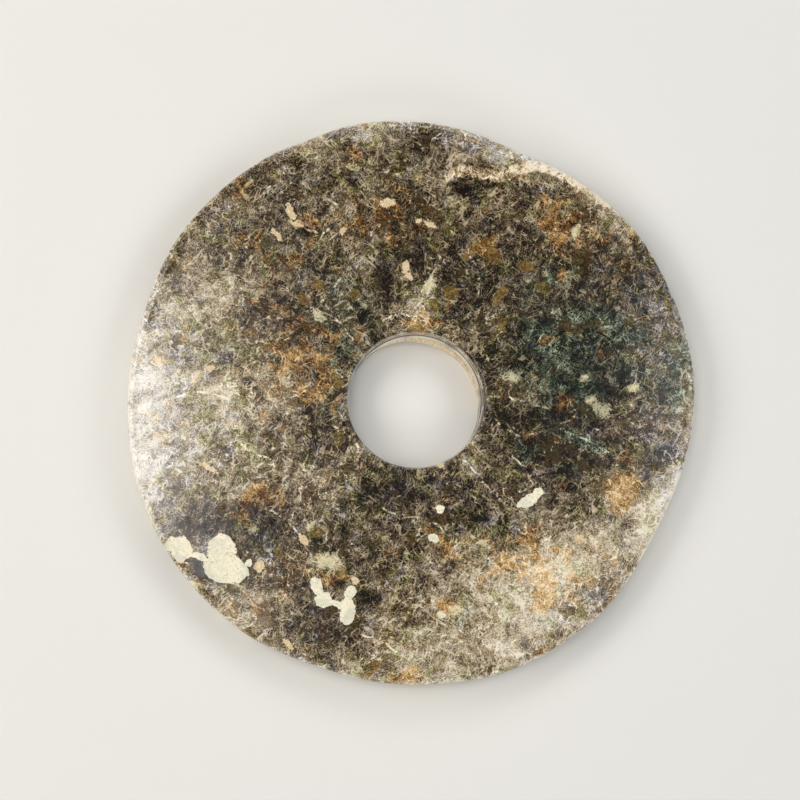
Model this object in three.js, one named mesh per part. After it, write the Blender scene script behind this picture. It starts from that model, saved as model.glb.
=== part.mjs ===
// Jade bi disc: one flat ring of stone, ground out of round, with a hole drilled from both faces.
// Millimetres, +Z up. The disc lies on its underside, and the origin is under the middle of its outline.
import * as THREE from "three";

// Driving dimensions
const thickness = 12;
const meanRadius = 101.2;
const frontMouthRadius = 24.3; // the hole where it opens in the upper face
const frontFloorRadius = 23.5; // the same drilling where it stopped, half way through
const backMouthRadius = 24.0;
const backFloorRadius = 22.8;

// The outline is a circle that bulges to one side, with long flats where the rim was ground or worn away.
const bulge = { towards: 180, by: 0.6 };
const flats = [
  { at: 24, reach: 14, depth: 0.3 },
  { at: 67, reach: 36, depth: 2.5 },
  { at: 67, reach: 13, depth: 1.1 },
  { at: 112, reach: 9, depth: 0.7 },
  { at: 163, reach: 19, depth: 1.55 },
  { at: 181, reach: 17, depth: 0.85 },
  { at: 226, reach: 12, depth: 0.3 },
  { at: 252, reach: 25, depth: 2.1 },
  { at: 275, reach: 17, depth: 1.1 },
  { at: 304, reach: 17, depth: 0.6 },
  { at: 325, reach: 22, depth: 1.3 },
  { at: 338, reach: 28, depth: 2.3 },
];

// The hole sits a little off the middle, and its two drillings miss each other.
const frontCentre = new THREE.Vector2(0.7, 0.2);
const drillMiss = { towards: 240, by: 1.6 };

// The rim: how far the worn edge falls in from the outline, and how high on the disc, from the face upwards.
const rimProfile = [
  { inset: 9.0, rise: 0.0 },
  { inset: 4.0, rise: 0.12 },
  { inset: 1.8, rise: 0.45 },
  { inset: 0.7, rise: 1.2 },
  { inset: 0.15, rise: 2.4 },
  { inset: 0.0, rise: 4.2 },
];
const faceShares = [0.06, 0.36, 0.66]; // rings across a face, from the hole's mouth towards the rim
const mouthEase = 0.5; // the small worn bevel round each mouth
const holeFloor = thickness / 2;
const grooveDepth = 0.6; // cut by the drill's rim round the foot of the upper drilling
const grooveWidth = 0.4;
const brokenCore = 0.2; // how far the snapped core stands in, and how uneven it is

const segments = 120;

function cosineDip(degrees, flat) {
  const away = THREE.MathUtils.euclideanModulo(degrees - flat.at + 180, 360) - 180;
  const share = Math.min(Math.abs(away) / flat.reach, 1);
  return flat.depth * Math.cos((share * Math.PI) / 2) ** 2;
}

function outlineRadius(angle) {
  const degrees = THREE.MathUtils.radToDeg(angle);
  const side = Math.cos(angle - THREE.MathUtils.degToRad(bulge.towards));
  return flats.reduce((radius, flat) => radius - cosineDip(degrees, flat), meanRadius + bulge.by * side);
}

const polar = (radius, angle, height) =>
  new THREE.Vector3(radius * Math.cos(angle), radius * Math.sin(angle), height);

const aroundHole = (radius, angle, height) =>
  polar(radius, angle, height).add(new THREE.Vector3(frontCentre.x, frontCentre.y, 0));

// The lower drilling's wall, seen from the upper drilling's centre.
const backRadius = (radius, angle) =>
  radius + drillMiss.by * Math.cos(angle - THREE.MathUtils.degToRad(drillMiss.towards));

// Where the two drillings meet, the core was snapped out and left an uneven lip.
function lipRadius(angle) {
  const uneven = 0.5 * Math.sin(5 * angle + 1) + 0.3 * Math.sin(11 * angle) + 0.2 * Math.sin(17 * angle + 2);
  const clear = Math.min(frontFloorRadius - grooveWidth, backRadius(backFloorRadius, angle));
  return clear - brokenCore * (1 + uneven);
}

// Each ring of the section gives its point at an angle. Together they go round the section once.
const rimRing = (inset, height) => (angle) => polar(outlineRadius(angle) - inset, angle, height);

const faceRing = (mouth, share, height) => (angle) =>
  mouth(angle).lerp(rimRing(rimProfile[0].inset, height)(angle), share);

const frontMouth = (angle) => aroundHole(frontMouthRadius + mouthEase, angle, thickness);
const backMouth = (angle) => aroundHole(backRadius(backMouthRadius, angle) + mouthEase, angle, 0);

const underside = [backMouth, ...faceShares.map((share) => faceRing(backMouth, share, 0))];
const upperFace = [frontMouth, ...faceShares.map((share) => faceRing(frontMouth, share, thickness))];
const lowerRim = rimProfile.map(({ inset, rise }) => rimRing(inset, rise));
const upperRim = rimProfile.map(({ inset, rise }) => rimRing(inset, thickness - rise));

const frontDrilling = [
  (angle) => aroundHole(frontMouthRadius, angle, thickness - mouthEase),
  (angle) => aroundHole((frontMouthRadius + frontFloorRadius) / 2, angle, thickness * 0.74),
  (angle) => aroundHole(frontFloorRadius, angle, holeFloor),
  (angle) => aroundHole(frontFloorRadius - grooveWidth / 2, angle, holeFloor - grooveDepth / 2),
];

const snappedLip = [
  (angle) => aroundHole(Math.max(lipRadius(angle), frontFloorRadius - 2 * grooveWidth), angle, holeFloor + 0.05),
  (angle) => aroundHole(lipRadius(angle), angle, holeFloor - 0.15),
  (angle) => aroundHole(lipRadius(angle), angle, holeFloor - 0.9),
];

const backDrilling = [
  (angle) => aroundHole(backRadius(backFloorRadius, angle), angle, holeFloor - 1.3),
  (angle) => aroundHole(backRadius(backMouthRadius, angle), angle, mouthEase),
];

const section = [
  ...underside,
  ...lowerRim,
  ...upperRim.reverse(),
  ...upperFace.reverse(),
  ...frontDrilling,
  ...snappedLip,
  ...backDrilling,
  backMouth,
];

// A lathe gives the closed ring of faces, and each of its points then moves to where its section ring puts it.
function sweep(rings) {
  const outline = rings.map((ring) => new THREE.Vector2(ring(0).length(), ring(0).z));
  const geometry = new THREE.LatheGeometry(outline, segments).rotateX(Math.PI / 2);
  const position = geometry.getAttribute("position");
  for (let i = 0; i < position.count; i++) {
    const turn = Math.floor(i / rings.length) % segments;
    const angle = (turn / segments) * 2 * Math.PI - Math.PI / 2;
    position.setXYZ(i, ...rings[i % rings.length](angle).toArray());
  }
  geometry.computeVertexNormals();
  return geometry;
}

function jadeDisc() {
  const stone = new THREE.MeshStandardMaterial({ color: 0x6f6852, roughness: 0.38, metalness: 0 });
  const disc = new THREE.Mesh(sweep(section), stone);
  disc.name = "bi_disc";
  disc.geometry.center();
  disc.position.z = thickness / 2;
  return disc;
}

const biDisc = new THREE.Group();
biDisc.add(jadeDisc());

export default biDisc;
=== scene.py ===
# A jade bi disc: one flat, polished ring of stone, mottled green, brown and cream, lying on its underside.
# Blender's lengths are metres. Sizes in the dictionaries are millimetres and degrees, seen from above.
import math

import bmesh
import bpy
from mathutils import Matrix, Vector, noise


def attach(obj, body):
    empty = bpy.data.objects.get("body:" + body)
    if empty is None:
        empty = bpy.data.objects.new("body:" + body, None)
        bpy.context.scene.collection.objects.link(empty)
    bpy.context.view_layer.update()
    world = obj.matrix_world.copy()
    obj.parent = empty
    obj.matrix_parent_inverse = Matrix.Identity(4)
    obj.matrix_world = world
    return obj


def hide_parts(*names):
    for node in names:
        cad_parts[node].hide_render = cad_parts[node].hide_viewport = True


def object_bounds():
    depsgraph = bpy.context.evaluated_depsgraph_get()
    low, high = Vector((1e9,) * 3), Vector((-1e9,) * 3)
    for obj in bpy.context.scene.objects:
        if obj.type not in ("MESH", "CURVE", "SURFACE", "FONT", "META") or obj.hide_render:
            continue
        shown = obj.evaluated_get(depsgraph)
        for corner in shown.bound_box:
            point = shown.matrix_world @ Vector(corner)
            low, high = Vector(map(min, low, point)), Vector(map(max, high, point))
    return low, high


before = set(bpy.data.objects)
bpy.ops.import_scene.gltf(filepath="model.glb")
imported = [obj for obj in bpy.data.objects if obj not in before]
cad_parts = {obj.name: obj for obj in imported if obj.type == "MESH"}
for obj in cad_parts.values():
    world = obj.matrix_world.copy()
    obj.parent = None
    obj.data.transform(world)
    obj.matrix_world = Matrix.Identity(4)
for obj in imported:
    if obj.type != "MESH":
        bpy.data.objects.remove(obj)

cadLow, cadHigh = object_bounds()
mm = 0.001
thickness = (cadHigh.z - cadLow.z) / mm
print("frame loaded, a disc", round(thickness, 1), "mm thick")

# What the stone carries on its upper face, used by the shape and by the colours.
# Each mark is its place x, y, its half length, half width, and how far it is turned.
crusts = {
    "largeUpper": (-67.2, -53.4, 6.6, 6.0, 90),
    "largeLower": (-66.2, -59.4, 8.2, 6.4, -8),
    "largeCorner": (-61.2, -61.2, 4.2, 3.6, 0),
    "bridge": (-75.0, -55.6, 4.4, 1.4, -15),
    "rimPatch": (-81.0, -53.0, 5.2, 4.4, 80),
    "rimPatchFoot": (-84.4, -51.4, 3.0, 3.2, 0),
    "twinUpper": (-33.6, -65.6, 3.8, 2.3, -58),
    "twinMiddle": (-31.4, -70.6, 3.6, 3.2, 0),
    "twinBridge": (-27.6, -71.8, 3.2, 1.2, -5),
    "twinLower": (-23.0, -74.4, 5.8, 3.2, 86),
    "twinTip": (-22.2, -68.0, 2.8, 2.2, 60),
    "oval": (41.2, -35.4, 5.6, 2.5, 30),
    "ovalHead": (44.0, -33.0, 2.2, 2.0, 0),
    "small": (6.6, -48.8, 2.3, 2.0, 0),
    "smaller": (9.2, -38.6, 1.8, 1.5, 0),
    "speck": (9.6, -75.9, 1.8, 1.5, 40),
    "besideLarge": (-57.8, -57.8, 1.9, 1.5, 20),
}
peaches = {  # small opaque spots of peach and cream, with crisp edges
    "aboveHole": (-2.7, 46.9, 3.0, 1.9, 80),
    "aboveHoleFoot": (-1.6, 43.6, 1.9, 1.3, -40),
    "upperLeft": (-48.4, 58.2, 3.0, 1.4, -52),
    "upperLeftTop": (-43.4, 66.4, 4.6, 1.6, -62),
    "upperLeftFoot": (-40.6, 61.8, 3.2, 1.2, -20),
    "upperDot": (-25.0, 59.6, 1.7, 1.3, 60),
    "top": (-8.7, 70.0, 3.4, 2.2, 20),
    "topSide": (6.0, 62.6, 3.0, 1.3, -25),
    "topSideTwin": (1.8, 63.4, 2.0, 1.2, 30),
    "left": (-71.6, 10.7, 2.6, 1.5, 30),
    "leftLow": (-76.0, 8.0, 3.6, 1.2, 50),
    "atMouth": (9.4, -23.0, 2.6, 1.8, -25),
    "lowerLeftDot": (-38.4, -49.4, 3.2, 1.3, -58),
    "besideCrust": (-53.7, -59.0, 2.6, 2.3, 30),
    "bottomLeft": (-43.5, -86.3, 3.4, 1.5, -45),
    "leftStreak": (-71.8, -24.5, 4.6, 1.2, -25),
    "orangeDot": (-20.4, -64.0, 1.6, 1.9, 20),
}
creams = {  # soft spots of yellowish cream that fray out into the felt
    "rightFuzzy": (34.8, 7.8, 3.6, 3.4, 0),
    "right": (67.2, -3.4, 5.2, 3.8, -40),
    "rightTail": (63.4, 0.4, 3.0, 2.0, 30),
    "rightStreak": (78.0, 4.6, 4.6, 2.0, 15),
    "rightSmall": (60.5, 7.4, 2.6, 2.0, 0),
    "rightUpper": (58.4, 60.4, 5.2, 1.6, 80),
    "lowerLeftCloud": (-30.2, -57.2, 7.6, 4.2, -12),
    "lowerLeftSwirl": (-35.6, -44.4, 3.6, 1.8, 40),
    "upperGold": (5.4, 40.4, 5.4, 3.0, 50),
    "lowerSpot": (15.2, -74.0, 3.4, 2.2, 0),
    "leftVein": (-33.5, 30.0, 4.0, 2.4, -52),
}
sages = {  # patches of paler, greener felt
    "right": (47.0, 20.6, 9.4, 5.6, -20),
    "low": (52.0, 14.8, 5.6, 4.0, -35),
    "far": (68.0, 27.0, 6.6, 4.2, -50),
    "middle": (56.6, 29.0, 5.6, 4.0, 0),
    "amberSide": (52.6, 44.0, 7.0, 4.2, 20),
    "belowMouth": (40.0, -20.0, 9.0, 4.0, 30),
    "longVein": (62.0, -15.0, 12.0, 3.4, -28),
}
shades = {  # small dark patches, just under the weathered band and beside the crusts
    "underBand": (17.0, 76.6, 6.0, 3.6, -20),
    "underBandRight": (29.0, 77.6, 5.0, 2.6, 10),
    "underBandFar": (47.0, 80.0, 6.0, 2.4, -10),
    "besideCrust": (-74.2, -61.4, 8.0, 2.6, -52),
    "leftOfPeach": (-10.4, 44.0, 5.0, 8.0, 10),
    "besidePeach": (-38.0, 59.4, 5.0, 2.4, 0),
    "rightOfMouth": (42.0, -17.4, 9.0, 4.6, 20),
    "longRight": (60.0, -22.0, 14.0, 4.0, -14),
    "belowMouth": (-8.0, -33.0, 14.0, 5.0, -6),
    "twinSide": (-26.0, -64.0, 4.0, 3.0, 0),
    "twinRight": (-13.6, -71.0, 3.6, 6.0, 0),
}
nodules = {  # glassy amber and olive grains with pale outlines
    "amber": (22.2, 53.6, 3.4, 2.6, 40),
    "amberBig": (28.6, 51.2, 4.6, 3.6, -15),
    "amberTop": (26.4, 56.0, 3.0, 2.2, 0),
    "amberLow": (19.0, 50.8, 2.2, 1.8, 0),
    "gold": (13.2, 37.6, 3.8, 3.2, -30),
    "goldSide": (7.6, 33.6, 3.0, 2.4, 40),
    "loop": (30.6, 37.0, 3.0, 5.4, -30),
    "olive": (46.6, 40.0, 4.2, 2.8, -35),
    "small": (32.0, 26.8, 2.0, 2.6, 0),
    "upperOlive": (40.0, 47.6, 4.4, 2.0, -20),
    "swirl": (-34.4, -47.0, 3.6, 2.6, 10),
    "leftOrange": (-25.6, -60.4, 2.2, 2.8, 20),
    "lowLeft": (-47.0, -54.4, 1.8, 3.0, 20),
    "leftGreen": (-33.6, 40.6, 3.4, 2.6, 0),
    "leftGreenLow": (-39.4, 35.4, 2.6, 3.2, 30),
    "upperGreen": (-20.4, 37.4, 2.6, 3.2, 10),
    "leftOfHole": (-27.0, 6.2, 2.4, 4.0, 20),
    "mouthLeft": (-26.4, -13.4, 2.8, 2.0, 30),
}
veins = {  # thin healed cracks, each given by the points it runs through, after its half width
    "leftOfHole": (0.55, (-32.2, 34.6), (-27.8, 29.2), (-25.6, 26.2), (-20.4, 19.4)),
    "leftBranch": (0.45, (-39.0, 33.6), (-33.6, 31.2), (-28.2, 29.0)),
    "leftUpper": (0.50, (-24.0, 45.0), (-29.4, 38.0), (-33.0, 34.0)),
    "underAmber": (0.50, (19.6, 51.6), (22.6, 47.4), (23.4, 42.0), (23.0, 36.4)),
    "right": (0.42, (25.6, 0.4), (32.4, 1.6), (40.2, -0.8), (50.4, -4.0), (60.2, -7.2), (69.6, -13.6)),
    "rightLower": (0.42, (27.6, -5.4), (31.6, -10.2), (38.6, -13.2), (48.0, -11.0)),
    "longRight": (0.55, (49.8, -9.2), (57.6, -12.8), (64.2, -15.6), (72.0, -20.0)),
    "belowRight": (0.45, (16.4, -20.0), (23.2, -27.4), (28.0, -33.6), (34.2, -37.6)),
    "belowRightTwin": (0.45, (33.8, -18.4), (39.8, -25.0), (42.8, -30.6)),
    "below": (0.45, (-12.6, -37.4), (-5.2, -41.0), (4.4, -42.6), (12.0, -46.0)),
    "leftArc": (0.45, (-85.0, -0.6), (-78.0, 2.4), (-71.0, 1.6), (-63.6, -1.2)),
    "leftLow": (0.50, (-62.4, -14.0), (-56.2, -19.6), (-47.4, -22.0)),
    "scratch": (0.45, (53.4, 62.2), (57.2, 68.2)),
    "mouthLeft": (0.45, (-29.4, -9.4), (-25.4, -10.6), (-21.0, -14.8), (-19.4, -17.8)),
    "aboveMouth": (0.40, (-12.0, 27.4), (-5.0, 30.2), (2.6, 29.0)),
    "upperLeft": (0.50, (-38.4, 60.6), (-33.0, 58.4), (-27.4, 61.2)),
    "lowerLeft": (0.45, (-52.0, -38.0), (-44.6, -42.4), (-40.2, -48.2)),
    "bottom": (0.40, (-20.0, -82.4), (-12.0, -84.2), (-4.0, -90.0)),
}
contour = (  # the wavy lower edge of the grey, weathered stone at the upper right
    (13.3, 79.9), (15.8, 81.5), (19.4, 82.1), (23.6, 80.6), (26.1, 81.0), (30.0, 79.6),
    (33.6, 79.9), (35.7, 82.1), (39.3, 83.1), (44.6, 84.2), (49.6, 82.8), (54.9, 80.6),
    (59.5, 77.8), (65.2, 75.0), (69.4, 70.7),
)
chips = {  # at the hole's upper mouth: where round it, how long, how deep
    "topLeft": (106, 4.5, 0.8),
    "top": (94, 3.0, 0.5),
    "left": (196, 2.4, 0.45),
    "right": (352, 2.2, 0.4),
    "lowerRight": (296, 3.4, 0.6),
    "upperRight": (52, 2.0, 0.35),
    "lowerLeft": (232, 2.6, 0.35),
}


def copyOfCad(name):  # its vertices, each once, in millimetres
    copy = bmesh.new()
    copy.from_mesh(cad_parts[name].data)
    bmesh.ops.remove_doubles(copy, verts=copy.verts, dist=1e-6)
    points = [vertex.co / mm for vertex in copy.verts]
    copy.free()
    return points


def outlineOf(points):  # the widest radius at each whole degree that has a point
    widest = {}
    for point in points:
        degree = round(math.degrees(math.atan2(point.y, point.x))) % 360
        widest[degree] = max(widest.get(degree, 0), point.xy.length)
    return sorted((degree, radius) for degree, radius in widest.items() if radius > 90)


def holeAt(points, height):  # middle and radius of the hole where it opens in a face
    flat = sorted((p.xy for p in points if abs(p.z - height) < 0.01), key=lambda p: p.length)
    mouth = flat[:len(outline)]
    low = Vector((min(p.x for p in mouth), min(p.y for p in mouth)))
    high = Vector((max(p.x for p in mouth), max(p.y for p in mouth)))
    return (low + high) / 2, (high.x - low.x) / 2


cadPoints = copyOfCad("bi_disc")
outline = outlineOf(cadPoints)
upperMouth, upperRadius = holeAt(cadPoints, cadHigh.z / mm)
lowerMouth, lowerRadius = holeAt(cadPoints, cadLow.z / mm)
meanRadius = sum(radius for degree, radius in outline) / len(outline)
print("hole", [round(v, 2) for v in (*upperMouth, upperRadius, *lowerMouth, lowerRadius)])
print("outline", len(outline), "points, mean radius", round(meanRadius, 2))


def outlineRadius(angle):
    degree = math.degrees(angle) % 360
    step = 360 / len(outline)
    before = int(degree // step)
    share = degree / step - before
    radii = [outline[(before + k) % len(outline)][1] for k in (-1, 0, 1, 2)]
    bend = (radii[2] - radii[0], 2 * radii[0] - 5 * radii[1] + 4 * radii[2] - radii[3])
    last = 3 * radii[1] - radii[0] - 3 * radii[2] + radii[3]
    return radii[1] + 0.5 * share * (bend[0] + share * (bend[1] + share * last))


# The disc's section, before it is spun round: straight faces, a worn rim, and a hole drilled from both sides.
section = {
    "turns": 620,
    "rimInset": 9.0, "rimDrop": 4.2, "rimSquareness": 0.476, "rimSteps": 11,
    "faceRings": 80, "undersideRings": 22,
    "mouthEase": 0.5,
    "upperFloor": 0.5,  # how much narrower each drilling is where it stops
    "lowerFloor": 0.4,
    "grooveDepth": 0.6, "grooveWidth": 0.4,
    "lipHeight": 0.9, "brokenCore": 0.10,
    "stump": 1.2, "stumpTowards": 60,  # the snapped core stands in furthest on this side
    "wallRings": 9,
}
relief = {
    "doming": 0.30, "domingReach": 30.0,
    "waviness": 0.10, "wavinessAcross": 38.0,
    "grinding": 0.035, "grindingAcross": 7.0,
    "pitDepth": 0.16, "pitAcross": 3.2,
    "crustHeight": 0.10,
    "rimNick": 0.22, "rimNickAcross": 2.6,
}
chipReach = {"outwards": 1.8, "down": 1.6, "push": 0.5}

floorRadius = upperRadius - section["mouthEase"] - section["upperFloor"]
lipRadius = floorRadius - 2 * section["grooveWidth"]


def rimCurve(step):  # one step of the worn edge, from the face round to the side
    angle = step / section["rimSteps"] * math.pi / 2
    inset = section["rimInset"] * (1 - math.sin(angle) ** section["rimSquareness"])
    drop = section["rimDrop"] * (1 - math.cos(angle) ** section["rimSquareness"])
    return inset, drop


def sectionPoints():  # radius and height, once round
    mouth = upperRadius
    ease = section["mouthEase"]
    middle = thickness / 2
    points = []
    faceEnd = meanRadius - section["rimInset"]
    for ring in range(section["faceRings"]):
        points.append((mouth + (faceEnd - mouth) * ring / section["faceRings"], thickness))
    for step in range(section["rimSteps"] + 1):
        inset, drop = rimCurve(step)
        points.append((meanRadius - inset, thickness - drop))
    points.append((meanRadius, middle))
    for step in range(section["rimSteps"], -1, -1):
        inset, drop = rimCurve(step)
        points.append((meanRadius - inset, drop))
    for ring in range(1, section["undersideRings"] + 1):
        points.append((faceEnd + (mouth - faceEnd) * ring / section["undersideRings"], 0))
    lowerTop = middle - section["lipHeight"] - 0.4
    for ring in range(section["wallRings"] + 1):
        share = ring / section["wallRings"]
        points.append((mouth - ease - section["lowerFloor"] * share, ease + (lowerTop - ease) * share))
    for down in (section["lipHeight"], 0.45, 0.15):
        points.append((lipRadius, middle - down))
    points.append((lipRadius + section["grooveWidth"] * 0.5, middle + 0.03))
    points.append((lipRadius + section["grooveWidth"], middle + 0.05))
    points.append((floorRadius - section["grooveWidth"] / 2, middle - section["grooveDepth"] / 2))
    for ring in range(section["wallRings"] + 1):
        share = ring / section["wallRings"]
        height = middle + (thickness - ease - middle) * share
        points.append((floorRadius + section["upperFloor"] * share, height))
    return points


def spunRing():
    ring = bmesh.new()
    points = [ring.verts.new((radius * mm, 0, height * mm)) for radius, height in sectionPoints()]
    edges = [ring.edges.new((points[k - 1], points[k])) for k in range(len(points))]
    bmesh.ops.spin(
        ring, geom=points + edges, cent=(0, 0, 0), axis=(0, 0, 1), dvec=(0, 0, 0),
        angle=2 * math.pi, steps=section["turns"], use_merge=True, use_duplicate=False,
    )
    bmesh.ops.recalc_face_normals(ring, faces=ring.faces)
    return ring


def smooth(low, high, value):
    share = min(max((value - low) / (high - low), 0), 1)
    return share * share * (3 - 2 * share)


def lipPoint(out, angle):  # on the snapped core, on the lower drilling and never past the upper one
    toward = Vector((math.cos(angle), math.sin(angle)))
    uneven = 0.5 * math.sin(5 * angle + 1) + 0.3 * math.sin(11 * angle) + 0.2 * math.sin(17 * angle + 2)
    crumble = noise.noise(Vector((*toward * 30, out)))
    stump = section["stump"] * max(math.cos(angle - math.radians(section["stumpTowards"])), 0) ** 2
    radius = lowerRadius - section["mouthEase"] - section["lowerFloor"] + out
    radius -= stump + section["brokenCore"] * (1 + uneven + 1.2 * crumble)
    offset = lowerMouth + toward * radius - upperMouth
    return upperMouth + offset * min((floorRadius - 0.08) / offset.length, 1)


def holePoint(radius, angle, height):
    toward = Vector((math.cos(angle), math.sin(angle)))
    middle = thickness / 2
    if height < middle - section["lipHeight"] - 0.1:
        return lowerMouth + toward * (radius - upperRadius + lowerRadius)
    if radius < lipRadius + section["grooveWidth"] * 0.7:
        return lipPoint(radius - lipRadius, angle)
    if radius < floorRadius:  # the groove, squeezed where the core was snapped off short
        room = floorRadius - (lipPoint(0, angle) - upperMouth).length
        radius = floorRadius - (floorRadius - radius) * min(room / (floorRadius - lipRadius), 1)
    return upperMouth + toward * radius


def markAt(mark, x, y):  # 1 at the middle of a mark, 0 at its edge
    atX, atY, long, wide, turn = mark
    turn = math.radians(turn)
    along = ((x - atX) * math.cos(turn) + (y - atY) * math.sin(turn)) / long
    across = ((y - atY) * math.cos(turn) - (x - atX) * math.sin(turn)) / wide
    return 1 - math.hypot(along, across)


def upperRelief(x, y, inset):
    place = Vector((x, y, 0))
    height = relief["waviness"] * noise.noise(place / relief["wavinessAcross"])
    height += relief["grinding"] * noise.noise(place / relief["grindingAcross"] + Vector((7, 3, 1)))
    height -= relief["doming"] * smooth(0, 1, 1 - inset / relief["domingReach"]) ** 2
    pit = noise.noise(place / relief["pitAcross"] + Vector((2, 9, 4)))
    height -= relief["pitDepth"] * smooth(0.42, 0.7, pit)
    ragged = 0.35 * noise.noise(place / 1.7) + 0.25 * noise.noise(place / 4.5)
    crust = max(markAt(mark, x, y) for mark in crusts.values())
    height += relief["crustHeight"] * smooth(0.05, 0.25, crust + ragged) * smooth(0, 5, inset)
    return height - relief["waviness"] * 0.6


def chipAt(angle):
    deepest = 0
    for at, long, deep in chips.values():
        away = (math.degrees(angle) - at + 180) % 360 - 180
        deepest = max(deepest, deep * max(1 - abs(math.radians(away) * upperRadius / long), 0) ** 0.7)
    return deepest


def shapeDisc(ring):
    top = thickness * 0.5
    for vertex in ring.verts:
        flat = vertex.co / mm
        radius = flat.xy.length
        angle = math.atan2(flat.y, flat.x)
        height = flat.z
        toward = Vector((math.cos(angle), math.sin(angle)))
        share = min(max((radius - upperRadius) / (meanRadius - upperRadius), 0), 1)
        near = holePoint(min(radius, upperRadius), angle, height)
        far = toward * outlineRadius(angle)
        place = near.lerp(far, share)
        inset = meanRadius - radius
        side = Vector((place.x, place.y, height)) / relief["rimNickAcross"]
        if inset < section["rimInset"]:
            nick = smooth(0.25, 0.6, noise.noise(side)) * relief["rimNick"]
            wear = 0.10 * noise.noise(side * 0.25)
            place -= toward * (nick + 0.05 + wear) * smooth(section["rimInset"] * 0.15, 0, inset)
        if height > top:
            rise = upperRelief(place.x, place.y, inset)
            height += rise * smooth(top, thickness, height)
        else:
            dip = 0.08 + 0.08 * noise.noise(Vector((place.x, place.y, 50)) / 30)
            height += dip * smooth(top, 0, height) * smooth(section["rimInset"], 40, inset)
        toMouth = radius - upperRadius
        if height > thickness - 2.5:
            chip = chipAt(angle) * (1 + 0.8 * noise.noise(side * 1.5))
            down = (thickness - height) / chipReach["down"]
            fall = max(1 - math.hypot(toMouth / chipReach["outwards"], down), 0)
            height -= chip * fall
            place += toward * chip * chipReach["push"] * fall
        vertex.co = Vector((place.x, place.y, height)) * mm


def makeDisc(material):
    ring = spunRing()
    shapeDisc(ring)
    mesh = bpy.data.meshes.new("jade_disc")
    ring.to_mesh(mesh)
    ring.free()
    mesh.shade_smooth()
    piece = bpy.data.objects.new("jade_disc", mesh)
    bpy.context.scene.collection.objects.link(piece)
    piece.data.materials.append(material)
    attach(piece, "root")
    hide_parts("bi_disc")
    print("disc made with", len(mesh.vertices), "vertices")
    return piece


class Wire:  # a socket that can be added and multiplied like a number

    def __init__(self, tree, socket):
        self.tree = tree
        self.socket = socket

    def node(self, kind, settings, inputs, output=0):
        made = self.tree.nodes.new(kind)
        for name, value in settings.items():
            if name == "stops":
                self.fillRamp(made.color_ramp, value)
            else:
                setattr(made, name, value)
        for name, value in inputs.items():
            if isinstance(value, Wire):
                self.tree.links.new(value.socket, made.inputs[name])
            else:
                made.inputs[name].default_value = value
        return Wire(self.tree, made.outputs[output]) if made.outputs else None

    def fillRamp(self, ramp, stops):
        while len(ramp.elements) < len(stops):
            ramp.elements.new(0.5)
        for element, (at, tint) in zip(ramp.elements, stops):
            element.position = at
            element.color = tint

    def math(self, operation, *values):
        return self.node("ShaderNodeMath", {"operation": operation}, dict(enumerate(values)))

    def vector(self, operation, inputs, output=0):
        return self.node("ShaderNodeVectorMath", {"operation": operation}, inputs, output)

    def __add__(self, other):
        return self.math("ADD", self, other)

    def __radd__(self, other):
        return self.math("ADD", other, self)

    def __sub__(self, other):
        return self.math("SUBTRACT", self, other)

    def __rsub__(self, other):
        return self.math("SUBTRACT", other, self)

    def __mul__(self, other):
        return self.math("MULTIPLY", self, other)

    def __rmul__(self, other):
        return self.math("MULTIPLY", other, self)

    def atLeast(self, other):
        return self.math("MAXIMUM", self, other)

    def between(self, low, high):  # a smooth step from 0 at low to 1 at high
        settings = {"interpolation_type": "SMOOTHSTEP"}
        return self.node("ShaderNodeMapRange", settings, {"Value": self, 1: low, 2: high})

    def mixed(self, first, second):  # two colours, mixed by this value
        return self.node("ShaderNodeMix", {"data_type": "RGBA"}, {0: self, 6: first, 7: second}, 2)

    def parts(self):
        split = self.tree.nodes.new("ShaderNodeSeparateXYZ")
        self.tree.links.new(self.socket, split.inputs[0])
        return [Wire(self.tree, output) for output in split.outputs]

    def noise(self, across, detail=0.0, output=0, rough=0.5, curl=0.0):  # across is the size of a blotch
        inputs = {"Vector": self, "Scale": 1 / across}
        inputs |= {"Detail": detail, "Roughness": rough, "Distortion": curl}
        return self.node("ShaderNodeTexNoise", {}, inputs, output)

    def drifted(self, across, by, detail=0.0):  # this place, pushed about
        push = self.noise(across, detail, 1)
        push = self.vector("SUBTRACT", {0: push, 1: (0.5, 0.5, 0.5)})
        push = self.vector("SCALE", {0: push, "Scale": by})
        return self.vector("ADD", {0: self, 1: push})

    def placed(self, at, turn, size):  # measured from a place, along a turned direction, in sizes
        inputs = {0: self, "Location": at, "Rotation": (0, 0, math.radians(turn)), "Scale": size}
        return self.node("ShaderNodeMapping", {"vector_type": "TEXTURE"}, inputs)

    def mark(self, mark, depth=400.0, gradient="SPHERICAL"):  # 1 at a mark's middle, 0 from its edge outwards
        x, y, long, wide, turn = mark
        local = self.placed((x, y, thickness), turn, (long, wide, depth))
        return self.node("ShaderNodeTexGradient", {"gradient_type": gradient}, {0: local}, 1)


def colour(red, green, blue):  # from screen values of 0 to 255
    def linear(value):
        share = value / 255
        return share / 12.92 if share <= 0.04045 else ((share + 0.055) / 1.055) ** 2.4
    return (linear(red), linear(green), linear(blue), 1.0)


tints = {  # each from its darkest to its palest, at the same five levels
    "brown": ((24, 18, 13), (67, 54, 40), (122, 107, 82), (184, 167, 139), (238, 228, 206)),
    "olive": ((18, 17, 9), (59, 53, 28), (117, 107, 66), (178, 169, 130), (232, 226, 200)),
    "green": ((15, 18, 13), (41, 46, 34), (87, 93, 72), (151, 159, 134), (216, 222, 202)),
    "grey": ((24, 21, 21), (68, 61, 58), (127, 118, 111), (191, 183, 172), (239, 234, 225)),
    "orange": ((36, 21, 10), (98, 63, 30), (150, 115, 66), (208, 173, 119), (246, 228, 194)),
}
levels = (0.0, 0.25, 0.5, 0.75, 1.0)

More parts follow.
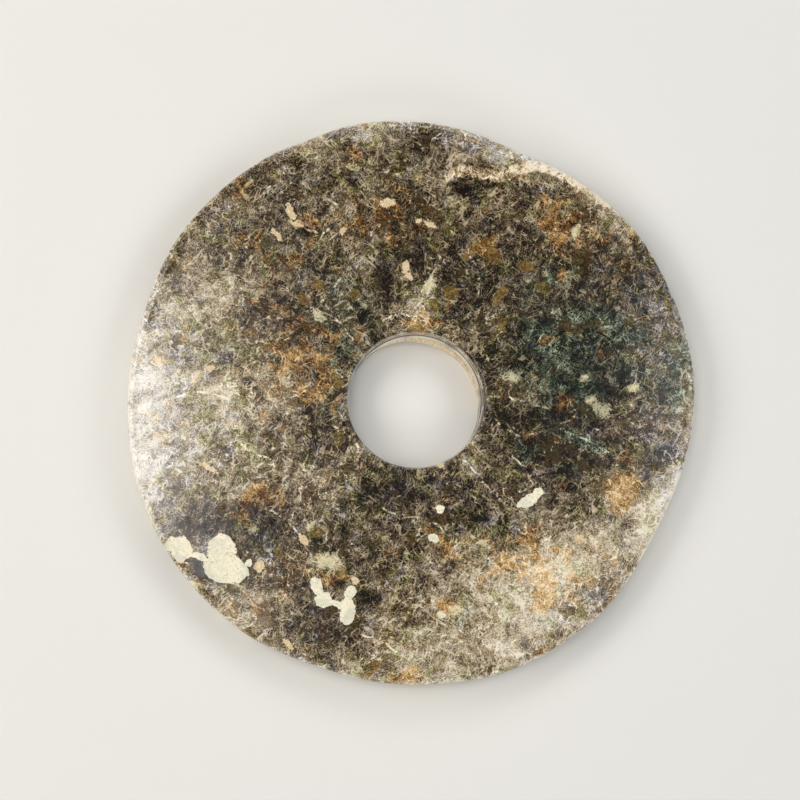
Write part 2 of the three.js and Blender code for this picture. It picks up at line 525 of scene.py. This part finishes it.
# Soft masses that shade into one another: place x, y, half length, half width, turn, and strength.
masses = {
    "pale": [
        # The first two pale masses, at the left rim, are partly the stone's own paler colour and partly a
        # painted sheen.
        (-106, -8, 36, 76, 0, 0.36), (-84, -4, 40, 70, 8, 0.20), (-62, -6, 34, 34, 0, 0.08),
        (-72, 40, 34, 24, 60, 0.08), (-62, -26, 26, 14, -10, 0.08), (-56, -80, 44, 12, -42, 0.16),
        (0, -96, 60, 18, 0, 0.20), (2, -76, 34, 16, 0, 0.06), (50, -66, 50, 24, 36, 0.35),
        (30, -62, 36, 18, 20, 0.12), (86, -44, 34, 16, 64, 0.36), (34, -84, 40, 18, 10, 0.12),
        (-12, 98, 46, 12, 4, 0.20), (36, 92, 34, 11, -22, 0.34), (68, 74, 26, 9, -48, 0.24),
        (70, 62, 14, 12, 0, 0.10), (6, 37, 8, 12, -12, 0.08), (97, 8, 8, 44, 0, 0.20),
        (24, -22, 9, 7, 40, 0.20), (97, -24, 10, 26, -12, 0.16), (-40, 8, 22, 26, 0, 0.08),
        (72, -30, 12, 14, 40, 0.24), (90, -36, 14, 22, -20, 0.16), (40, -70, 40, 20, 20, 0.06),
        (17, 86, 6, 9, 20, 0.16), (25, -50, 14, 9, 30, 0.14), (-60, -38, 18, 10, 0, 0.10),
        (62, 76, 18, 9, -45, 0.16), (88, -48, 16, 9, 60, 0.12), (-70, -70, 20, 8, -45, 0.10),
    ],
    "dark": [
        (52, 6, 44, 50, 0, 0.18), (42, -14, 34, 24, -10, 0.14), (62, -24, 22, 14, 10, 0.12),
        (14, -34, 44, 18, -8, 0.18), (34, 44, 44, 26, -24, 0.08), (-9, 38, 7, 12, 10, 0.24),
        (-52, -46, 34, 12, -10, 0.16), (-78, -46, 12, 7, 0, 0.22), (24, 76, 12, 5, -8, 0.26),
        (46, 72, 26, 10, -26, 0.12), (-40, 66, 40, 22, 24, 0.06), (-74.2, -61.4, 8, 3.4, -52, 0.4),
        (20, 36, 20, 18, 20, 0.20), (28, 58, 20, 12, -20, 0.10), (0, 54, 26, 14, 0, 0.10),
        (-30, 34, 24, 22, -30, 0.08), (-46, 26, 20, 18, 0, 0.10), (30, 17, 12, 12, 0, 0.06),
        (72, -2, 16, 22, 0, 0.16), (78, 44, 16, 22, 30, 0.12), (-20, -70, 9, 8, 0, 0.20),
        (-30, -80, 20, 9, -20, 0.10), (70, 8, 20, 24, 0, 0.06), (-14, 66, 30, 20, 0, 0.08),
    ],
    "green": [
        (58, 14, 50, 38, -10, 0.8), (32, 42, 34, 22, 10, 0.4), (-26, 20, 24, 40, 0, 0.4),
        (-20, 44, 44, 20, 10, 0.25), (-20, -28, 22, 12, -20, 0.4), (72, 26, 20, 7, -20, 0.5),
        (48, 22, 10, 6, -20, 0.5), (94, 12, 12, 26, 0, 0.5), (50, -20, 30, 14, -20, 0.5),
        (18, -40, 40, 12, 0, 0.3),
    ],
    "grey": [
        # The first grey mass, at the left rim, turns the stone greyer there: partly its own colour, partly a
        # painted sheen.
        (-104, -10, 44, 80, 0, 0.8), (30, 90, 30, 8, -20, 0.5), (88, 30, 20, 40, 0, 0.4),
        (0, -34, 40, 14, 0, 0.3), (-60, -46, 30, 16, 0, 0.3), (60, -76, 40, 16, 40, 0.3),
        (92, -20, 16, 24, 0, 0.5), (-10, 97, 40, 10, 0, 0.3), (-80, -60, 20, 20, 0, 0.3),
    ],
    "orange": [
        (-40, 14, 20, 24, 0, 0.5), (-30, 6, 9, 20, 0, 0.3), (73, -32, 10, 12, 40, 0.9),
        (46, -66, 8, 14, 20, 0.9), (44, -74, 6, 8, 0, 0.8), (78, -24, 9, 9, 0, 0.6),
        (34, -56, 34, 12, 20, 0.5), (-2, -97, 14, 7, 0, 0.8), (-56, -36, 18, 8, 10, 0.8),
        (-30, -62, 22, 9, 0, 0.5), (60, -62, 26, 16, 40, 0.5), (12, -74, 9, 7, 0, 0.6),
        (2, 27, 16, 5, 0, 0.6), (26, 53, 9, 7, -10, 1.0), (50, 64, 40, 16, -30, 0.5),
        (10, -52, 24, 9, 0, 0.4), (-50, 50, 50, 30, 30, 0.2), (-14, 66, 34, 14, 0, 0.3),
    ],
}


def massed(place, name):
    total = 0.0
    for *mark, strength in masses[name]:
        total = total + place.mark(mark).between(0.0, 0.85) * strength
    return total


felt = {
    "coarse": {"turns": (8, 47, 83, 121, 158, 66), "size": (5.4, 1.0, 2.0), "fibre": 0.048},
    "fine": {"turns": (25, 98, 139), "size": (3.0, 0.7, 1.4), "fibre": 0.060},
    "curl": 2.4, "curlAcross": 7.0,
    "threadTurns": (38, 74, 142), "threadLong": 13.0, "threadWide": 3.0,
    "poolAcross": 7.5, "poolEdge": 0.60,  # smooth glassy grains among the fibres, each with a pale outline
}


def strongestOf(values):
    strongest = values[0]
    for value in values[1:]:
        strongest = value.atLeast(strongest)
    return strongest


def feltOf(place, layer):  # pale mineral fibres in all directions, a few of them leading at each place
    curled = place.drifted(felt["curlAcross"], felt["curl"], 1.0)
    leading = place.noise(3.4, 1.0, 1).parts() + place.noise(2.8, 1.0, 1).parts()
    strands = []
    for k, turn in enumerate(layer["turns"]):
        along = curled.placed((31 * k, 17 * k, 5 * k), turn, layer["size"])
        fromLine = along.noise(1.0) - 0.5
        line = fromLine.math("ABSOLUTE", fromLine).between(layer["fibre"], 0.0)
        strands.append(line * leading[k].between(0.48, 0.66))
    return strongestOf(strands)


def threadsOf(place):  # single long fibres that lie across the felt
    wavy = place.drifted(11.0, 6.0, 1.0)
    threads = []
    for k, turn in enumerate(felt["threadTurns"]):
        size = (felt["threadLong"], felt["threadWide"], 6.0)
        line = wavy.placed((13 * k, 29 * k, 3 * k), turn, size).noise(1.0, 1.0)
        threads.append((line - 0.5).math("ABSOLUTE", line - 0.5).between(0.020, 0.004))
    return strongestOf(threads) * place.noise(4.0, 1.0).between(0.42, 0.56)


def ramped(level, name):
    stops = [(at, colour(*tint)) for at, tint in zip(levels, tints[name])]
    return level.node("ShaderNodeValToRGB", {"stops": stops}, {"Fac": level})


def coveredBy(place, marks, depth):
    return strongestOf([place.mark(mark, depth) for mark in marks])


def runOf(points, halfWidth):  # marks that follow a line through its points
    marks = []
    for start, end in zip(points, points[1:]):
        along = Vector(end) - Vector(start)
        middle = (Vector(start) + Vector(end)) / 2
        turn = math.degrees(math.atan2(along.y, along.x))
        marks.append((*middle, along.length * 0.5 + 2.2 * halfWidth, halfWidth * 1.6, turn))
    return marks


tone = {  # how pale the stone is, from 0 to 1, and how much each pattern lifts or lowers that
    "ground": 0.19, "pale": 1.14, "dark": 1.2, "cloud": 0.65,
    "patch": 1.6, "speck": 0.7, "grain": 1.35, "grainLostWherePale": 0.5,
    "fibrePaleness": 0.98, "fibreCover": 0.72, "fibreGainWherePale": 0.45,
    "strand": 0.78, "wisp": 0.85, "thread": 0.85, "lostInPool": 0.7,
    "poolRim": 0.34, "shade": 0.19, "mouth": 0.3, "crack": 0.5,
    "weathered": 0.12, "weatheredSpeck": 0.3, "cream": 0.2,
    "sage": 0.10, "sageSpeck": 0.16, "rim": 0.12, "rimSpeck": 0.2,
}


def jadeMaterial():
    material = bpy.data.materials.new("jade")
    material.use_nodes = True
    tree = material.node_tree
    tree.nodes.clear()
    coordinates = tree.nodes.new("ShaderNodeTexCoord")
    metres = Wire(tree, coordinates.outputs["Object"])
    place = metres.vector("SCALE", {0: metres, "Scale": 1 / mm})
    wandering = place.drifted(22.0, 12.0, 2.0).drifted(5.0, 4.0, 2.0)
    ragged = place.drifted(4.5, 2.8, 2.0).drifted(1.3, 1.1, 1.0)

    cloudRed, cloudGreen, cloudBlue = place.noise(24.0, 2.0, 1).parts()
    patchRed, patchGreen, patchBlue = place.noise(9.0, 5.0, 1, 0.72, 0.6).parts()
    speckRed, speckGreen, speckBlue = place.noise(2.6, 3.0, 1, 0.75, 1.2).parts()
    grain = place.noise(0.45, 1.0)

    strands = feltOf(place, felt["coarse"])
    wisps = feltOf(place, felt["fine"])
    threads = threadsOf(place)
    pool = place.noise(felt["poolAcross"], 2.0, rough=0.6, curl=0.4)
    inPool = pool.between(felt["poolEdge"], felt["poolEdge"] + 0.03)
    poolRim = pool.between(felt["poolEdge"] - 0.03, felt["poolEdge"]) * (1 - inPool)
    grains = coveredBy(place.drifted(4.6, 3.8, 2.0).drifted(1.6, 1.6, 1.0), nodules.values(), 8.0)
    inPool = inPool.atLeast(grains.between(0.22, 0.30))
    poolRim = poolRim.atLeast(grains.between(0.08, 0.18) - grains.between(0.18, 0.28))

    zone = tone["ground"] + massed(wandering, "pale") * tone["pale"]
    zone = zone - massed(wandering, "dark") * tone["dark"] + (cloudRed - 0.5) * tone["cloud"]
    level = zone + (patchRed - 0.5) * tone["patch"] + (speckRed - 0.5) * tone["speck"]
    level = level + (grain - 0.5) * (tone["grain"] - zone * tone["grainLostWherePale"])
    web = (strands.atLeast(wisps * tone["wisp"]) * tone["strand"]).atLeast(threads * tone["thread"])
    web = web * (1 - inPool * tone["lostInPool"])
    cover = tone["fibreCover"] + zone * tone["fibreGainWherePale"]
    level = level + (tone["fibrePaleness"] - level) * web * cover
    level = level + poolRim * speckGreen.between(0.44, 0.60) * tone["poolRim"]
    level = level - coveredBy(ragged, shades.values(), 8.0).between(0.0, 0.5) * tone["shade"]

    fromHole = place.vector("SUBTRACT", {0: place, 1: (*upperMouth, 0)})
    fromHole = fromHole.vector("MULTIPLY", {0: fromHole, 1: (1, 1, 0)}).vector("LENGTH", {0: fromHole}, 1)
    inHole = fromHole.between(upperRadius + 0.4, upperRadius - 0.2)
    # Paler round the hole's mouth: partly the stone's own pale, chipped edge, partly painted light lifting
    # the shade on the mouth's bevel.
    atMouth = fromHole.between(upperRadius + 2.2, upperRadius)
    level = level + atMouth * speckRed.between(0.44, 0.6) * tone["mouth"]

    healed = [mark for width, *points in veins.values() for mark in runOf(points, width)]
    cracks = coveredBy(place.drifted(5.0, 2.4, 2.0), healed, 9.0).between(0.2, 0.7)
    level = level + cracks * speckGreen.between(0.36, 0.56) * tone["crack"]
    weathered = coveredBy(place.drifted(3.0, 1.6, 2.0), runOf(contour, 1.6), 9.0)
    bleach = tone["weathered"] + speckGreen.between(0.35, 0.62) * tone["weatheredSpeck"]
    level = level + weathered.between(0.04, 0.36) * bleach

    fuzzy = coveredBy(ragged, creams.values(), 6.0)
    level = level + fuzzy.between(0.0, 0.6) * tone["cream"]
    sage = coveredBy(ragged, sages.values(), 6.0).between(0.0, 0.6)
    level = level + sage * (tone["sage"] + speckBlue.between(0.4, 0.6) * tone["sageSpeck"])
    up = place.parts()[2]
    # Paler from just below the top face downwards, over the rim's rounded edge and side: a painted highlight
    # along the edge, flecked by speckle.
    rimHighlight = up.between(thickness - 0.7, thickness - 1.8) * (1 - inHole)
    level = level + rimHighlight * (tone["rim"] + speckGreen.between(0.3, 0.6) * tone["rimSpeck"])

    hueRed, hueGreen, hueBlue = place.noise(6.5, 3.0, 1, 0.65, 0.8).parts()
    stone = ramped(level, "brown")
    olive = (hueGreen + speckGreen * 0.15 + cloudGreen * 0.3 - 0.73).between(0.0, 0.10)
    stone = olive.mixed(stone, ramped(level, "olive"))
    grey = massed(wandering, "grey") * 0.8 + (hueBlue - 0.5) * 3.0 + (speckBlue - 0.5) * 0.7
    stone = grey.between(0.1, 0.6).mixed(stone, ramped(level, "grey"))
    green = massed(wandering, "green") + (patchGreen - 0.5) * 1.6 + (cloudBlue - 0.5) + sage * 0.5
    stone = green.between(0.25, 0.85).mixed(stone, ramped(level, "green"))
    orange = massed(wandering, "orange") + (hueRed - 0.5) * 3.3 + (speckGreen - 0.5) * 0.6 + (cloudBlue - 0.5)
    orange = orange.between(0.25, 0.8).atLeast(weathered.between(0.0, 0.4) * 0.35)
    stone = orange.mixed(stone, ramped(level, "orange"))

    amber = (patchBlue + cloudGreen - 0.5).between(0.42, 0.56)
    glassy = amber.mixed(colour(84, 50, 18), colour(62, 62, 26))
    glassy = (speckRed * 1.6 + grain - 0.8).between(0.2, 0.9).mixed(glassy, colour(172, 142, 78))
    stone = (inPool * grains.between(0.1, 0.25).atLeast(0.25) * 0.62).mixed(stone, glassy)

    fray = (grain - 0.5) * 1.0 + (speckRed - 0.5) * 1.2
    creamed = (fuzzy + fray * 1.1 + strands * 0.4 - 0.2).between(0.0, 0.7) * fuzzy.between(0.0, 0.2)
    creamColour = patchGreen.between(0.4, 0.6).mixed(colour(226, 214, 172), colour(196, 190, 154))
    stone = (creamed * 0.8).mixed(stone, creamColour)
    spots = coveredBy(ragged, peaches.values(), 6.0)
    spots = (spots + fray * 0.6).between(0.14, 0.36) * spots.between(0.0, 0.12)
    spotColour = speckBlue.between(0.4, 0.6).mixed(colour(232, 206, 162), colour(240, 226, 192))
    stone = (spots * 0.9).mixed(stone, (grain * 2.0 - 0.4).mixed(colour(190, 158, 114), spotColour))

    crust = (coveredBy(ragged, crusts.values(), 4.0) + fray * 0.12).between(0.10, 0.17)
    crustGrain = (grain * 1.3 + speckRed * 0.9 + patchBlue * 0.6 - 0.86).between(0.0, 0.6)
    crustColour = patchGreen.between(0.42, 0.58).mixed(colour(242, 232, 204), colour(218, 214, 192))
    crustColour = crustGrain.mixed(colour(170, 168, 146), crustColour)
    stone = crust.mixed(stone, crustColour)

    striped = place.placed((0, 0, 0), 0, (9.0, 9.0, 0.45)).noise(1.0, 1.0)
    wall = striped.between(0.38, 0.56).mixed(colour(168, 166, 170), colour(242, 236, 220))
    wall = (hueRed + up * 0.08 - 1.2).between(0.0, 0.2).mixed(wall, colour(178, 128, 74))
    ledge = fromHole.between(floorRadius - 0.35, floorRadius - 0.45)
    wall = ledge.mixed(wall, (grain * 2.0 - 0.5).mixed(colour(186, 158, 122), colour(244, 230, 198)))
    # The wall below the hole's middle, groove included, is painted dark grey except on the ledge: painted
    # shade deep inside the hole.
    holeShade = up.between(thickness / 2 + 0.04, thickness / 2 - 0.04) * (1 - ledge)
    wall = (holeShade * 0.85).mixed(wall, colour(58, 54, 54))
    stone = (inHole * 0.92).mixed(stone, wall)

    height = grain * 0.02
    bump = place.node("ShaderNodeBump", {}, {"Height": height, "Distance": mm, "Strength": 0.6})
    roughness = 0.20 + strands * 0.05 + crust * 0.42 + spots * 0.1 + (patchRed - 0.5) * 0.10 + inHole * 0.3

    inputs = {"Base Color": stone, "Roughness": roughness, "Normal": bump, "IOR": 1.47}
    surface = place.node("ShaderNodeBsdfPrincipled", {}, inputs)
    place.node("ShaderNodeOutputMaterial", {}, {"Surface": surface})
    print("jade material made with", len(tree.nodes), "nodes")
    return material


studio = {  # metres, degrees, watts
    "cameraDistance": 0.79, "lens": 100, "cameraTilt": 6.0, "cameraTowards": 240,
    "cameraShift": (-0.0155, 0.0008),
    "floorAcross": 6.0,
    "lamps": {
        "left": {"at": (-1.15, 0.10, 0.95), "size": (0.8, 1.3), "power": 15, "colour": (1.0, 0.97, 0.93)},
        "right": {"at": (1.20, 0.10, 0.90), "size": (0.7, 1.1), "power": 9, "colour": (0.94, 0.97, 1.0)},
        "back": {"at": (0.05, 1.35, 1.00), "size": (1.4, 0.6), "power": 8.5, "colour": (1.0, 1.0, 1.0)},
        "front": {"at": (0.10, -1.45, 0.90), "size": (1.4, 0.6), "power": 8.5, "colour": (1.0, 0.99, 0.97)},
        "sheen": {"at": (-0.30, 0.02, 1.15), "size": (0.32, 0.44), "power": 2.2, "colour": (1.0, 0.98, 0.95)},
        "edge": {"at": (0.40, 0.08, 1.15), "size": (0.22, 0.30), "power": 0.55, "colour": (0.86, 0.94, 1.0)},
    },
}


def aimed(thing, target):  # turned to face a target, with +Y as its top
    back = (thing.location - Vector(target)).normalized()
    right = Vector((0, 1, 0)).cross(back).normalized()
    turn = Matrix((right, back.cross(right), back)).transposed()
    thing.rotation_euler = turn.to_euler()


def makeFloor():
    ground = bmesh.new()
    bmesh.ops.create_grid(ground, x_segments=1, y_segments=1, size=studio["floorAcross"] / 2)
    mesh = bpy.data.meshes.new("floor")
    ground.to_mesh(mesh)
    ground.free()
    floor = bpy.data.objects.new("floor", mesh)
    floor.location.z = cadLow.z
    bpy.context.scene.collection.objects.link(floor)
    paper = bpy.data.materials.new("paper")
    paper.use_nodes = True
    shader = paper.node_tree.nodes["Principled BSDF"]
    shader.inputs["Base Color"].default_value = colour(226, 224, 219)
    shader.inputs["Roughness"].default_value = 0.9
    floor.data.materials.append(paper)


def makeLamp(name, facts):
    lamp = bpy.data.lights.new(name, "AREA")
    lamp.shape = "RECTANGLE"
    lamp.size, lamp.size_y = facts["size"]
    lamp.energy = facts["power"]
    lamp.color = facts["colour"]
    holder = bpy.data.objects.new(name, lamp)
    holder.location = facts["at"]
    aimed(holder, (0, 0, 0))
    bpy.context.scene.collection.objects.link(holder)


def makeCamera():
    tilt = math.radians(studio["cameraTilt"])
    towards = math.radians(studio["cameraTowards"])
    away = Vector((math.sin(tilt) * math.cos(towards), math.sin(tilt) * math.sin(towards), math.cos(tilt)))
    middle = (cadLow + cadHigh) / 2
    lens = bpy.data.cameras.new("camera")
    lens.lens = studio["lens"]
    lens.shift_x, lens.shift_y = studio["cameraShift"]
    camera = bpy.data.objects.new("camera", lens)
    camera.location = middle + away * studio["cameraDistance"]
    aimed(camera, middle)
    bpy.context.scene.collection.objects.link(camera)
    bpy.context.scene.camera = camera


def makeStudio():
    makeFloor()
    for name, facts in studio["lamps"].items():
        makeLamp(name, facts)
    makeCamera()
    world = bpy.data.worlds.new("room")
    world.use_nodes = True
    background = world.node_tree.nodes["Background"]
    background.inputs["Color"].default_value = (0.9, 0.93, 1.0, 1.0)
    background.inputs["Strength"].default_value = 0.03
    bpy.context.scene.world = world
    bpy.context.scene.view_settings.view_transform = "Standard"
    print("studio made")


disc = makeDisc(jadeMaterial())
makeStudio()
bpy.context.view_layer.update()
